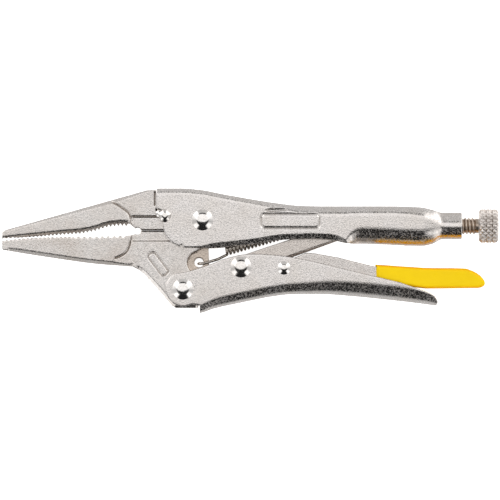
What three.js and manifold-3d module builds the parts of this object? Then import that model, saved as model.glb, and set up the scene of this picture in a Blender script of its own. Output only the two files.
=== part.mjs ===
// Long-nose locking pliers with a toggle linkage, a knurled adjusting screw and a dipped release lever.
// Millimetres. The tool lies on its side: jaw tips towards -X, adjusting screw towards +X,
// fixed jaw and upper handle towards +Y, and +Z across the tool, away from the surface it lies on.
// Shapes are drawn in the mid-plane of the tool (z = 0), and the whole group is lifted at the end.
import * as THREE from "three";
import { mergeVertices } from "three/addons/utils/BufferGeometryUtils.js";
import Module from "manifold-3d";

const wasm = await Module();
wasm.setup();

// ---- driving dimensions ----
const GAP = 0.3; // between pieces that touch on the real tool
const TIP_X = -112.4; // end of the jaws
const KNOB_END_X = 112.5; // end of the adjusting screw's knob
const SHEET = 2.4; // folded steel of the two handles
const HANDLE_HALF = 8.0; // half the outside width of a handle
const HANDLE_INNER = HANDLE_HALF - SHEET;
const JAW_HALF = HANDLE_INNER - GAP; // half the thickness of a jaw between the handle walls
const NOSE_ROOT_HALF = 6.0; // half the thickness of a nose where it leaves the jaw body
const NOSE_TIP_HALF = 2.3;
const TANG_HALF = 2.3; // fixed jaw's tang, between the cheeks of the moving jaw
const CHEEK_INNER = TANG_HALF + GAP;
const EAR_HALF = 1.6; // thin ear of the moving jaw that holds the spring
const CUTTER_HALF = 4.3; // recessed faces beside the wire cutter
const LINK_HALF = 3.0;
const LEVER_HALF = 3.9;
const LEVER_SHEET = 1.5;
const SLEEVE_HALF = 4.9;
const NECK_HALF = 7.2;
const HEAD_TOP = 9.5; // rivet heads stand this far from the mid-plane
const SMALL_HEAD_TOP = 9.2;
const RIVET_SHANK = 3.0;
const SMALL_SHANK = 1.9;
const HEAD_BASE = 4.75;
const HEAD_FLAT = 2.6;
const SMALL_HEAD_BASE = 2.95;
const SMALL_HEAD_FLAT = 1.9;

// Pivots and other points in the plane of the tool.
const JAW_PIVOT = [-21.5, 13.8];
const HANDLE_PIVOT = [-30.4, -17.5];
const LINK_PIVOT = [-4.1, -7.5];
const LEVER_PIVOT = [15.4, -8.0];
const LINK_END = [48.0, 11.07];
const SPRING_HOLE = [-23.1, -5.6];
const SCREW_Y = LINK_END[1];
const THROAT = [-51.0, 8.7];
const THROAT_R = 1.6;
const SLIT_Y = 8.9; // line where the two cutting edges meet

// Jaw teeth: fine towards the tips, coarse towards the throat.
const TEETH_END_X = -55.0;
const COARSE_FROM_X = -80.0;
const FINE_PITCH = 1.9;
const COARSE_PITCH = 2.7;
const FINE_DEPTH = 0.7;
const COARSE_DEPTH = 1.1;

// Rolled end of the upper handle, and the adjusting screw in it.
const COLLAR_R = 6.05;
const COLLAR_X = 87.5;
const COLLAR_END_X = 96.1;
const BORE_R = 4.2;
const SCREW_R = 3.75;
const SCREW_TIP_X = 54.6;
const SCREW_NECK_X = 102.0;
const KNOB_X = 103.9;
const KNOB_R = 7.7;

// Extension spring.
const SPRING_R = 2.8;
const WIRE_R = 0.5;
const SPRING_SLOPE = THREE.MathUtils.degToRad(16.1);
const SPRING_START = [-11.6, 0.0];
const SPRING_LENGTH = 38.0;
const TONGUE_X = 28.0; // tongue bent down out of the upper handle's web, for the spring's rear hook
const TONGUE_HALF = 2.9;
const TONGUE_HOLE_Y = 13.2;

// ---- making and cutting solids ----
const rad = THREE.MathUtils.degToRad;

// A three.js geometry as a manifold-3d solid.
function solid(geometry) {
  const bare = geometry.clone();
  bare.deleteAttribute("normal");
  bare.deleteAttribute("uv");
  const merged = mergeVertices(bare, 1e-4);
  const index = Array.from(merged.index.array);
  const triVerts = [];
  for (let i = 0; i < index.length; i += 3) {
    const [a, b, c] = index.slice(i, i + 3);
    if (a !== b && b !== c && a !== c) triVerts.push(a, b, c);
  }
  return new wasm.Manifold(
    new wasm.Mesh({
      numProp: 3,
      vertProperties: merged.attributes.position.array,
      triVerts: new Uint32Array(triVerts),
    }),
  );
}

function join(...solids) {
  return solids.reduce((whole, next) => whole.add(next));
}

function cut(body, ...tools) {
  return tools.reduce((left, tool) => left.subtract(tool), body);
}

// A solid as a three.js geometry again.
function geometryOf(body) {
  const mesh = body.getMesh();
  const geometry = new THREE.BufferGeometry();
  geometry.setAttribute("position", new THREE.BufferAttribute(mesh.vertProperties, 3));
  geometry.setIndex(Array.from(mesh.triVerts));
  geometry.computeVertexNormals();
  return geometry;
}

// Points of an arc about a centre, from one angle to another in degrees.
function arc([cx, cy], radius, from, to, step = 12) {
  const count = Math.max(2, Math.ceil(Math.abs(to - from) / step));
  const points = [];
  for (let i = 0; i <= count; i++) {
    const angle = rad(from + ((to - from) * i) / count);
    points.push([cx + radius * Math.cos(angle), cy + radius * Math.sin(angle)]);
  }
  return points;
}

// Points of a smooth curve through the given points.
function curve(points, count) {
  const spline = new THREE.SplineCurve(points.map(([x, y]) => new THREE.Vector2(x, y)));
  return spline.getPoints(count).map((p) => [p.x, p.y]);
}

// A plate with the given side outline, between two distances from the mid-plane.
function plate(points, zLow, zHigh) {
  const shape = new THREE.Shape(points.map(([x, y]) => new THREE.Vector2(x, y)));
  const geometry = new THREE.ExtrudeGeometry(shape, { depth: zHigh - zLow, bevelEnabled: false });
  geometry.translate(0, 0, zLow);
  return solid(geometry);
}

// A plate across the mid-plane whose edges are rounded off.
function roundedPlate(points, half, round) {
  const shape = new THREE.Shape(points.map(([x, y]) => new THREE.Vector2(x, y)));
  const geometry = new THREE.ExtrudeGeometry(shape, {
    depth: 2 * (half - round),
    bevelThickness: round,
    bevelSize: round,
    bevelOffset: -round,
    bevelSegments: 2,
  });
  geometry.translate(0, 0, round - half);
  return solid(geometry);
}

// The same plate on both sides of the mid-plane.
function plates(points, zLow, zHigh) {
  return join(plate(points, zLow, zHigh), plate(points, -zHigh, -zLow));
}

function disc(centre, radius, half, step = 15) {
  return plate(arc(centre, radius, 0, 360 - step, step), -half, half);
}

function box(xLow, xHigh, yLow, yHigh, zLow, zHigh) {
  const geometry = new THREE.BoxGeometry(xHigh - xLow, yHigh - yLow, zHigh - zLow);
  geometry.translate((xLow + xHigh) / 2, (yLow + yHigh) / 2, (zLow + zHigh) / 2);
  return solid(geometry);
}

// A prism along X from a section in Y and Z.
function prismX(points, xLow, xHigh) {
  const shape = new THREE.Shape(points.map(([y, z]) => new THREE.Vector2(y, z)));
  const geometry = new THREE.ExtrudeGeometry(shape, { depth: xHigh - xLow, bevelEnabled: false });
  const turn = new THREE.Matrix4().set(0, 0, 1, xLow, 1, 0, 0, 0, 0, 1, 0, 0, 0, 0, 0, 1);
  geometry.applyMatrix4(turn);
  return solid(geometry);
}

// A prism along Y from a plan in X and Z.
function prismY(points, yLow, yHigh) {
  const shape = new THREE.Shape(points.map(([x, z]) => new THREE.Vector2(x, z)));
  const geometry = new THREE.ExtrudeGeometry(shape, { depth: yHigh - yLow, bevelEnabled: false });
  const turn = new THREE.Matrix4().set(1, 0, 0, 0, 0, 0, -1, yHigh, 0, 1, 0, 0, 0, 0, 0, 1);
  geometry.applyMatrix4(turn);
  return solid(geometry);
}

// A body turned about an axis along Z through the given point, from [radius, z] points.
function turnedZ(profile, [cx, cy], segments = 24) {
  const geometry = new THREE.LatheGeometry(
    profile.map(([r, z]) => new THREE.Vector2(r, z)),
    segments,
  );
  geometry.rotateX(Math.PI / 2);
  geometry.translate(cx, cy, 0);
  return geometry;
}

// A body turned about the screw's axis, from [radius, x] points.
function turnedX(profile, segments = 24) {
  const geometry = new THREE.LatheGeometry(
    profile.map(([r, x]) => new THREE.Vector2(r, x)),
    segments,
  );
  geometry.rotateZ(-Math.PI / 2);
  geometry.translate(0, SCREW_Y, 0);
  return geometry;
}

// ---- folded sheet ----
// One station of a folded sheet: half of its section, from the middle of the web round the bend,
// down the wall and round the curl at the wall's lower edge, as outer and inner [y, z] points.
// side is +1 for a web on top and -1 for a web underneath.
function foldedHalf(station, side) {
  const { web, half, bend, edge, curl, curlAngle, sheet } = station;
  const steps = 6;
  const outer = [[web, 0]];
  const inner = [[web - side * sheet, 0]];
  for (let i = 0; i <= steps; i++) {
    const angle = (Math.PI / 2) * (i / steps);
    const y = web - side * bend * (1 - Math.cos(angle));
    const z = half - bend * (1 - Math.sin(angle));
    outer.push([y, z]);
    inner.push([y - side * sheet * Math.cos(angle), z - sheet * Math.sin(angle)]);
  }
  for (let i = 0; i <= steps; i++) {
    const angle = rad(curlAngle) * (i / steps);
    const y = edge + side * curl * (1 - Math.sin(angle));
    const z = half - curl * (1 - Math.cos(angle));
    outer.push([y, z]);
    inner.push([y + side * sheet * Math.sin(angle), z - sheet * Math.cos(angle)]);
  }
  return { outer, inner };
}

// The closed section: the half and its mirror image, round the outside and back along the inside.
function foldedSection(station, side) {
  const { outer, inner } = foldedHalf(station, side);
  const mirror = (points) => points.slice(1).reverse().map(([y, z]) => [y, -z]);
  const outside = [...mirror(outer), ...outer];
  const inside = [...mirror(inner), ...inner];
  return { outside, inside };
}

// A sheet folded along its length, through a list of stations in X.
function foldedSheet(stations, side) {
  const positions = [];
  const index = [];
  let count = 0;
  for (const station of stations) {
    const { outside, inside } = foldedSection(station, side);
    const ring = [...outside, ...inside.reverse()];
    count = ring.length;
    for (const [y, z] of ring) positions.push(station.x, y, z);
  }
  const quad = (a, b, c, d) => index.push(a, b, c, a, c, d);
  for (let s = 0; s < stations.length - 1; s++) {
    for (let i = 0; i < count; i++) {
      const here = s * count + i;
      const next = s * count + ((i + 1) % count);
      quad(here, here + count, next + count, next);
    }
  }
  const last = (stations.length - 1) * count;
  for (let i = 0; i < count / 2 - 1; i++) {
    const back = count - 1 - i;
    quad(i, i + 1, back - 1, back);
    quad(last + i, last + back, last + back - 1, last + i + 1);
  }
  if (side > 0) index.reverse();
  const geometry = new THREE.BufferGeometry();
  geometry.setAttribute("position", new THREE.Float32BufferAttribute(positions, 3));
  geometry.setIndex(index);
  return solid(geometry);
}

// ---- handles ----
// Upper handle: channel at the front, rolled into a barrel and a threaded collar at the back.
// Stations: x, height of the web's top, bend radius, height of the lower edge, curl in degrees.
function upperHandleStations() {
  const open = { half: HANDLE_HALF, sheet: SHEET, curl: 5.0, curlAngle: 1, edge: -7 };
  const front = [
    [-42.6, 28.1, 2.6],
    [-31.5, 28.1, 2.6],
    [-23.0, 27.5, 2.6],
    [-13.3, 25.7, 2.6],
    [0.0, 23.3, 2.7],
    [11.5, 21.5, 3.1],
    [23.5, 20.2, 4.0],
    [34.0, 20.0, 4.4],
    [41.0, 20.0, 4.4],
  ].map(([x, web, bend]) => ({ ...open, x, web, bend }));
  const barrel = [
    [47.0, 20.0, 4.2, 2.7, 42],
    [52.0, 20.0, 4.0, 2.7, 76],
    [64.0, 20.0, 4.0, 2.3, 80],
    [73.0, 19.6, 4.3, 1.9, 80],
    [80.6, 19.3, 4.8, 1.8, 80],
  ].map(([x, web, bend, edge, curlAngle]) => {
    return { ...open, x, web, bend, edge, curl: HANDLE_HALF, curlAngle };
  });
  const neck = {
    x: 83.4,
    web: 18.3,
    half: NECK_HALF,
    bend: 5.4,
    edge: 2.9,
    curl: NECK_HALF,
    curlAngle: 83,
    sheet: 2.1,
  };
  const collar = {
    web: SCREW_Y + COLLAR_R,
    edge: SCREW_Y - COLLAR_R,
    half: COLLAR_R,
    bend: COLLAR_R,
    curl: COLLAR_R,
    curlAngle: 86,
    sheet: COLLAR_R - BORE_R,
  };
  return [...front, ...barrel, neck, { ...collar, x: COLLAR_X }, { ...collar, x: COLLAR_END_X }];
}

// What is left of the channel's walls after their front and lower edges are cut.
function upperHandleOutline() {
  return [
    [-42.5, 40],
    [-42.5, 19.5],
    ...curve([[-41.9, 18.0], [-39.6, 13.2], [-39.2, 9.9], [-38.0, 6.3], [-35.4, 3.6], [-31.5, 1.6]], 10),
    ...curve([[-29.0, 1.4], [-23.0, 2.2], [-8.5, 4.6], [8.9, 6.8], [29.9, 7.7], [36.5, 7.2]], 12),
    ...curve([[40.8, 5.7], [43.2, 4.2], [46.0, 3.3], [49.0, 2.8]], 5),
    [52.0, -20],
    [120, -20],
    [120, 40],
  ];
}

function upperHandle() {
  const notch = [[-43, 19.0], [-37.4, 17.2], [-36.0, 15.4], [-37.2, 13.6], [-43, 12.4]];
  const walls = HANDLE_HALF + 1;
  const window = box(TONGUE_X - 7.0, TONGUE_X, 15, 25, -TONGUE_HALF, TONGUE_HALF);
  const tongue = box(TONGUE_X, TONGUE_X + 2.0, 11.2, 18.6, -TONGUE_HALF, TONGUE_HALF);
  const hookHole = prismX(arc([TONGUE_HOLE_Y, 0], 1.1, 0, 330, 30), TONGUE_X - 1, TONGUE_X + 3);
  const lowerSlot = box(-31.4, -30.6, 0, 2.6, -walls, walls);
  const channel = foldedSheet(upperHandleStations(), 1);
  return cut(
    channel.intersect(plate(upperHandleOutline(), -walls, walls)).subtract(window).add(tongue),
    hookHole,
    plates(notch, HANDLE_INNER - 1, walls),
    disc(JAW_PIVOT, RIVET_SHANK + GAP, walls),
    lowerSlot,
  );
}

// Lower handle: a channel open towards the upper handle, with two ears round the jaw's tail.
function lowerHandleStations() {
  const open = { half: HANDLE_HALF, sheet: SHEET, curl: 5.0, curlAngle: 1, edge: 5 };
  return [
    [-22.8, -28.5, 4.0],
    [-20.9, -28.0, 4.2],
    [-17.0, -26.6, 4.6],
    [-13.2, -25.6, 4.8],
    [-6.1, -24.1, 5.0],
    [2.0, -22.4, 5.0],
    [10.0, -20.9, 5.0],
    [19.0, -19.9, 5.2],
    [31.8, -19.8, 6.0],
    [45.4, -20.7, 6.8],
    [64.4, -22.6, 7.0],
    [78.0, -24.2, 6.4],
    [85.0, -25.2, 4.6],
  ].map(([x, web, bend]) => ({ ...open, x, web, bend }));
}

function lowerHandleTopEdge() {
  return [
    ...curve([[85.1, -23.3], [83.6, -20.7], [80.4, -18.9], [74.1, -16.6], [67.7, -14.4]], 8),
    ...curve([[58.2, -12.1], [42.2, -8.3], [26.3, -4.5], [14.0, -2.4], [0.0, -1.6], [-8.4, -2.9]], 12),
    ...curve([[-13.2, -4.3], [-17.7, -6.2], [-26.9, -9.2], [-32.0, -10.2]], 5),
  ];
}

function lowerHandle() {
  const walls = HANDLE_HALF + 1;
  const outline = [
    [-22.8, -40],
    [84.0, -40],
    [84.4, -25.0],
    ...lowerHandleTopEdge(),
    [-32.0, -14],
    [-22.8, -20],
  ];
  const ear = [
    [-14.0, -23.4],
    [-14.0, -5.0],
    ...curve([[-17.7, -6.2], [-26.9, -9.2], [-32.0, -10.2]], 4),
    ...arc(HANDLE_PIVOT, 7.9, 112, 300, 14),
  ];
  return cut(
    join(
      foldedSheet(lowerHandleStations(), -1).intersect(plate(outline, -walls, walls)),
      plates(ear, HANDLE_INNER, HANDLE_HALF),
    ),
    disc(HANDLE_PIVOT, RIVET_SHANK + GAP, walls),
    disc(LINK_PIVOT, RIVET_SHANK + GAP, walls),
    disc(LEVER_PIVOT, SMALL_SHANK + GAP, walls),
  );
}

// ---- jaws ----
// Half-thickness of the two jaws in plan: narrow tips, thick noses, and a flat body behind.
function jawPlan() {
  const side = [
    [TIP_X - 1, NOSE_TIP_HALF],
    [TIP_X + 6, NOSE_TIP_HALF + 0.3],
    [-54.3, NOSE_ROOT_HALF],
    [-53.6, JAW_HALF],
    [0, JAW_HALF],
  ];
  const other = side.map(([x, z]) => [x, -z]).reverse();
  return [...other, ...side];
}

// A row of V cuts along a line of grip; the line is [x, y] points from the tip to the throat.
function toothCuts(line, side) {
  const path = new THREE.SplineCurve(line.map(([x, y]) => new THREE.Vector2(x, y)));
  const end = TEETH_END_X;
  const heightAt = (x) => path.getPoint(tAt(path, x)).y;
  const cuts = [];
  let x = TIP_X + 1.0;
  while (x < end) {
    const coarse = x > COARSE_FROM_X;
    const pitch = coarse ? COARSE_PITCH : FINE_PITCH;
    const depth = coarse ? COARSE_DEPTH : FINE_DEPTH;
    const y = heightAt(x);
    const mouth = y - side * 0.4;
    cuts.push([x - pitch * 0.45, mouth], [x, y + side * depth], [x + pitch * 0.45, mouth]);
    x += pitch;
  }
  const first = cuts[0];
  const last = cuts[cuts.length - 1];
  const outline = [[first[0], first[1] - side * 1.5], ...cuts, [last[0], last[1] - side * 1.5]];
  return plate(side > 0 ? outline : outline.reverse(), -NOSE_ROOT_HALF - 1, NOSE_ROOT_HALF + 1);
}

// Parameter of a spline whose points run left to right, at a given x.
function tAt(path, x) {
  let low = 0;
  let high = 1;
  for (let i = 0; i < 24; i++) {
    const middle = (low + high) / 2;
    if (path.getPoint(middle).x < x) low = middle;
    else high = middle;
  }
  return low;
}

const FIXED_GRIP = [
  [TIP_X, 5.2],
  [-98.7, 6.4],
  [-85.9, 7.7],
  [-76.5, 8.5],
  [-70.1, 9.8],
  [-64.2, 11.7],
  [-58.8, 12.3],
  [-54.4, 12.0],
];
const MOVING_GRIP = [
  [TIP_X, 4.6],
  [-100.7, 5.6],
  [-85.0, 6.1],
  [-70.0, 6.3],
  [-54.4, 6.7],
];

// Blades of the wire cutter: recessed faces, and a bevel down to each cutting edge.
function cutterCuts() {
  const faces = [[-53.6, 15.6], [-53.6, 4.4], [-30, 4.4], [-30, 15.6]];
  const bevel = [[SLIT_Y + 1.5, JAW_HALF + 1], [SLIT_Y, 0.7], [SLIT_Y - 1.5, JAW_HALF + 1]];
  const other = bevel.map(([y, z]) => [y, -z]).reverse();
  return [
    plates(faces, CUTTER_HALF, JAW_HALF + 1),
    prismX(bevel, -49.8, -33.0),
    prismX(other, -49.8, -33.0),
  ];
}

function fixedJaw() {
  const edge = SLIT_Y + GAP / 2;
  const body = [
    ...curve(FIXED_GRIP, 16),
    ...arc(THROAT, THROAT_R, 130, 12, 20),
    [-48.8, edge],
    [-31.2, edge],
    ...arc(JAW_PIVOT, 10.6, 205, 112, 15),
    [-27.0, 24.9],
    [-42.2, 25.3],
    [-42.8, 25.3],
    [-42.8, 27.5],
    [-46.7, 27.3],
    [TIP_X + 1.2, 9.2],
    [TIP_X, 8.4],
  ];
  const tang = [[-34, edge], [-21.5, edge], [-21.5, 24.3], [-34, 24.6]];
  const wide = NOSE_ROOT_HALF + 1;
  const flats = plate(jawPlanOutline("fixed"), -wide, wide);
  return cut(
    join(
      plate(body, -wide, wide).intersect(prismY(jawPlan(), -40, 40)),
      plate(tang, -TANG_HALF, TANG_HALF),
      disc(JAW_PIVOT, 8.8, TANG_HALF),
    ).subtract(flats),
    toothCuts(FIXED_GRIP, 1),
    ...cutterCuts(),
    disc(JAW_PIVOT, RIVET_SHANK + GAP, wide),
  );
}

// Small bevels where the top of the nose meets its end, as a closed outline to take away.
function jawPlanOutline(which) {
  const up = which === "fixed" ? 1 : -1;
  const y = which === "fixed" ? 9.4 : -0.6;
  const points = [[TIP_X - 1, y], [TIP_X + 0.6, y], [TIP_X - 1, y - up * 1.6]];
  return up > 0 ? points.reverse() : points;
}

const MOVING_NOSE_EDGE = [
  [TIP_X, 0.3],
  [-102.6, -1.4],
  [-82.9, -4.4],
  [-70.0, -6.1],
  [-60.0, -6.9],
  [-53.1, -7.4],
];
const MOVING_BELLY = [
  [-51.3, -8.3],
  [-48.5, -10.3],
  [-45.4, -13.6],
  [-41.6, -17.8],
  [-37.6, -22.6],
  [-35.2, -25.1],
];

function movingJaw() {
  const edge = SLIT_Y - GAP / 2;
  const wide = NOSE_ROOT_HALF + 1;
  const body = [
    ...curve(MOVING_NOSE_EDGE, 10),
    ...curve(MOVING_BELLY, 9),
    [-33.6, -26.1],
    [-25.6, -26.1],
    ...arc(HANDLE_PIVOT, 8.7, -48, 26, 14),
    [-20.6, -11.0],
    ...arc(SPRING_HOLE, 4.6, -40, 8, 16),
    [-18.8, 0.6],
    [-16.0, 4.6],
    ...arc(JAW_PIVOT, 10.2, -45, 209, 15),
    [-31.2, edge],
    [-48.8, edge],
    ...arc(THROAT, THROAT_R, -12, -125, 20),
    ...curve(MOVING_GRIP, 10).reverse(),
  ];
  const ear = [
    ...arc(SPRING_HOLE, 5.4, 105, 262, 15),
    [-14, -11.0],
    [-14, 3.2],
    [-20.4, 2.4],
  ];
  return cut(
    plate(body, -wide, wide).intersect(prismY(jawPlan(), -40, 40)),
    toothCuts(MOVING_GRIP, -1),
    ...cutterCuts(),
    disc(JAW_PIVOT, 9.3, CHEEK_INNER),
    plate([[-36, edge - 0.3], [-10, edge - 0.3], [-10, 30], [-36, 30]], -CHEEK_INNER, CHEEK_INNER),
    plates(ear, EAR_HALF, wide),
    disc(SPRING_HOLE, 2.1, wide),
    disc(JAW_PIVOT, RIVET_SHANK + GAP, wide),
    disc(HANDLE_PIVOT, RIVET_SHANK + GAP, wide),
    plate(jawPlanOutline("moving"), -wide, wide),
  );
}

// ---- linkage ----
function toggleLink() {
  const axis = THREE.MathUtils.radToDeg(
    Math.atan2(LINK_END[1] - LINK_PIVOT[1], LINK_END[0] - LINK_PIVOT[0]),
  );
  const outline = [
    ...arc(LINK_PIVOT, 5.5, axis + 60, axis + 300, 15),
    ...arc([LINK_PIVOT[0] + 9.5, LINK_PIVOT[1] + 3.0], 3.4, axis - 90, axis - 88, 2),
    ...arc(LINK_END, 3.6, axis - 90, axis + 90, 15),
  ];
  return cut(
    join(plate(outline, -LINK_HALF, LINK_HALF), disc(LINK_PIVOT, 4.9, JAW_HALF)),
    disc(LINK_PIVOT, RIVET_SHANK + GAP, HANDLE_HALF),
  );
}

// Release lever: a narrow folded channel whose web faces the link and the upper handle.
const LEVER_TOP = [
  [5.6, -9.9],
  [12.2, -7.0],
  [18.9, -3.8],
  [25.4, -1.1],
  [29.0, -1.3],
  [40.0, -3.2],
  [56.0, -7.2],
  [79.0, -9.0],
  [97.5, -9.4],
];

function leverOutline(inset) {
  const lowered = LEVER_TOP.map(([x, y]) => [x, y - inset]);
  return [
    ...lowered,
    [102.6 - inset, -13.4],
    [102.8 - inset, -14.8],
    [98.0, -15.4],
    [79.6, -15.4],
    [60.0, -13.4],
    [40.0, -11.3],
    [24.0, -9.6],
    ...arc(LEVER_PIVOT, 4.0, -20, -160, 20),
  ].reverse();
}

function releaseLever() {
  const hollow = leverOutline(LEVER_SHEET).map(([x, y]) => [x, y < -9.3 ? y - 6 : y]);
  const inside = LEVER_HALF - LEVER_SHEET;
  return cut(
    plate(leverOutline(0), -LEVER_HALF, LEVER_HALF),
    plate(hollow, -inside, inside),
    disc(LEVER_PIVOT, SMALL_SHANK + GAP, HANDLE_HALF),
  );
}

// Dipped vinyl sleeve: a shell over the lever's free end, open where the bare metal comes out.
const SLEEVE_X = 56.7;
const SLEEVE_TIP = [
  [101.3, -9.3],
  [104.2, -11.0],
  [105.9, -13.0],
  [106.7, -14.8],
  [105.9, -16.4],
  [103.9, -17.2],
];
const SLEEVE_ROUND = 1.3;

function leverSleeve() {
  const outside = [
    [SLEEVE_X, -6.3],
    [79.0, -7.8],
    [98.3, -8.1],
    ...curve(SLEEVE_TIP, 8),
    [79.6, -17.4],
    [SLEEVE_X, -14.9],
  ].reverse();
  const room = [
    [SLEEVE_X - 1, -6.95],
    [79.0, -8.7],
    [97.7, -9.1],
    [102.9, -13.2],
    [103.1, -15.0],
    [98.2, -15.7],
    [79.6, -15.7],
    [SLEEVE_X - 1, -13.5],
  ].reverse();
  return cut(
    roundedPlate(outside, SLEEVE_HALF, SLEEVE_ROUND),
    plate(room, -LEVER_HALF - 0.2, LEVER_HALF + 0.2),
  );
}

// ---- rivets, screw and spring ----
function rivet(centre, shank, base, flat, top) {
  const seat = HANDLE_HALF + GAP;
  return turnedZ(
    [
      [0, -top],
      [flat, -top],
      [base, -seat - 0.2],
      [base, -seat],
      [shank, -seat],
      [shank, seat],
      [base, seat],
      [base, seat + 0.2],
      [flat, top],
      [0, top],
    ],
    centre,
  );
}

function largeRivet(centre) {
  return rivet(centre, RIVET_SHANK, HEAD_BASE, HEAD_FLAT, HEAD_TOP);
}

function adjustingScrew() {
  return turnedX([
    [0, SCREW_TIP_X],
    [2.4, SCREW_TIP_X],
    [SCREW_R, SCREW_TIP_X + 1.6],
    [SCREW_R, SCREW_NECK_X],
    [SCREW_R - 0.5, SCREW_NECK_X + 0.5],
    [SCREW_R - 0.5, KNOB_X - GAP],
    [0, KNOB_X - GAP],
  ]);
}

function screwKnob() {
  return turnedX(
    [
      [0, KNOB_X],
      [KNOB_R - 0.9, KNOB_X],
      [KNOB_R, KNOB_X + 0.8],
      [KNOB_R, KNOB_END_X - 1.0],
      [KNOB_R - 1.0, KNOB_END_X],
      [0, KNOB_END_X],
    ],
    32,
  );
}

// The spring's coil as a plain bar of its outer size, with a wire hook at each end.
function jawSpring() {
  const along = new THREE.Vector2(Math.cos(SPRING_SLOPE), Math.sin(SPRING_SLOPE));
  const coil = new THREE.CylinderGeometry(SPRING_R, SPRING_R, SPRING_LENGTH, 16);
  coil.rotateZ(-Math.PI / 2);
  coil.translate(SPRING_LENGTH / 2, 0, 0);
  coil.rotateZ(SPRING_SLOPE);
  coil.translate(SPRING_START[0], SPRING_START[1], 0);
  const end = [
    SPRING_START[0] + along.x * SPRING_LENGTH,
    SPRING_START[1] + along.y * SPRING_LENGTH,
  ];
  const front = wire([
    [SPRING_START[0] + 1.0, SPRING_START[1] - SPRING_R + 1.0, 0],
    [-14.4, -3.7, 0.9],
    [-17.2, -4.8, 2.6],
    [-20.6, -5.8, 2.8],
    [-22.9, -6.0, 2.3],
    [-23.4, -6.0, 0.6],
    [-23.4, -6.0, -1.9],
  ]);
  const back = wire([
    [end[0] - 1.0, end[1] + 1.2, 0],
    [TONGUE_X - 1.2, TONGUE_HOLE_Y - 0.2, 0],
    [TONGUE_X + 1.0, TONGUE_HOLE_Y, 0],
    [TONGUE_X + 3.0, TONGUE_HOLE_Y + 0.5, 0],
    [TONGUE_X + 3.6, TONGUE_HOLE_Y + 1.8, 0],
  ]);
  return join(solid(coil), solid(front), solid(back));
}

function wire(points) {
  const path = new THREE.CatmullRomCurve3(points.map((p) => new THREE.Vector3(...p)));
  const section = new THREE.Shape().absarc(0, 0, WIRE_R, 0, 2 * Math.PI);
  return new THREE.ExtrudeGeometry(section, { extrudePath: path, steps: 14, curveSegments: 4 });
}

// Weld bead in the notch at the front of one handle wall, over the fixed jaw.
function weldBead(side) {
  const outline = [[-42.0, 17.8], [-38.0, 16.8], [-36.6, 15.4], [-37.8, 14.2], [-40.4, 13.9]];
  const low = JAW_HALF + GAP / 2;
  const high = HANDLE_HALF + 0.4;
  return side > 0 ? plate(outline, low, high) : plate(outline, -high, -low);
}

// ---- the tool ----
const NICKEL = { color: 0xc9c5bf, roughness: 0.32, metalness: 1.0 };
const DARK_NICKEL = { color: 0xa39a8c, roughness: 0.4, metalness: 1.0 };
const VINYL = { color: 0xf2cc12, roughness: 0.45, metalness: 0.0 };

function addPiece(group, name, shape, look) {
  const geometry = shape.isBufferGeometry ? shape : geometryOf(shape);
  const mesh = new THREE.Mesh(geometry, new THREE.MeshStandardMaterial(look));
  mesh.name = name;
  group.add(mesh);
}

const pliers = new THREE.Group();
pliers.position.z = HEAD_TOP;
addPiece(pliers, "upper_handle", upperHandle(), NICKEL);
addPiece(pliers, "fixed_jaw", fixedJaw(), NICKEL);
addPiece(pliers, "weld_bead_left", weldBead(1), NICKEL);
addPiece(pliers, "weld_bead_right", weldBead(-1), NICKEL);
addPiece(pliers, "jaw_pivot_rivet", largeRivet(JAW_PIVOT), NICKEL);
addPiece(pliers, "jaw_spring", jawSpring(), NICKEL);
addPiece(pliers, "moving_jaw", movingJaw(), NICKEL);
addPiece(pliers, "lower_handle", lowerHandle(), NICKEL);
addPiece(pliers, "handle_pivot_rivet", largeRivet(HANDLE_PIVOT), NICKEL);
addPiece(pliers, "link_pivot_rivet", largeRivet(LINK_PIVOT), NICKEL);
addPiece(
  pliers,
  "lever_pivot_rivet",
  rivet(LEVER_PIVOT, SMALL_SHANK, SMALL_HEAD_BASE, SMALL_HEAD_FLAT, SMALL_HEAD_TOP),
  NICKEL,
);
addPiece(pliers, "toggle_link", toggleLink(), NICKEL);
addPiece(pliers, "release_lever", releaseLever(), NICKEL);
addPiece(pliers, "lever_sleeve", leverSleeve(), VINYL);
addPiece(pliers, "adjusting_screw", adjustingScrew(), DARK_NICKEL);
addPiece(pliers, "screw_knob", screwKnob(), DARK_NICKEL);

export default pliers;
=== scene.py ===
"""Looks of the locking pliers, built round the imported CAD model.

Lengths in this script are millimetres, in the frame of the CAD model, with z counted from the
mid-plane of the tool. They become metres only where a mesh is made.
"""

import math

import bmesh
import bpy
import numpy as np
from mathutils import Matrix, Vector, noise


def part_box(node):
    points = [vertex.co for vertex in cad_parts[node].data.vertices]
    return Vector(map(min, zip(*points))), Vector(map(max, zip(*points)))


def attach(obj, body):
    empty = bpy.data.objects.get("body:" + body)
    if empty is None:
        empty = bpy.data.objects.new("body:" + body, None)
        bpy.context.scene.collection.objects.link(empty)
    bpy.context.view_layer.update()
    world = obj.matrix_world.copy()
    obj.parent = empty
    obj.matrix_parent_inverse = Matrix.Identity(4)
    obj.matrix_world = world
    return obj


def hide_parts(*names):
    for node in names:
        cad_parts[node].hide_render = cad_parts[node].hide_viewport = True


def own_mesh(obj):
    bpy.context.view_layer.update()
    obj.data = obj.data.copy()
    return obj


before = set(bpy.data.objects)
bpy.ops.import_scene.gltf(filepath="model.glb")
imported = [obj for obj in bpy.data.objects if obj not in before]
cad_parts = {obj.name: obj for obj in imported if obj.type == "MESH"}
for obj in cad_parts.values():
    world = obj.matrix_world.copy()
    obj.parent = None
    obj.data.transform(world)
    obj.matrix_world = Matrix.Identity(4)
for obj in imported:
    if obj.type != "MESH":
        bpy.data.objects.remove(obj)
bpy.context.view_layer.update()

MM = 0.001


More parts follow.
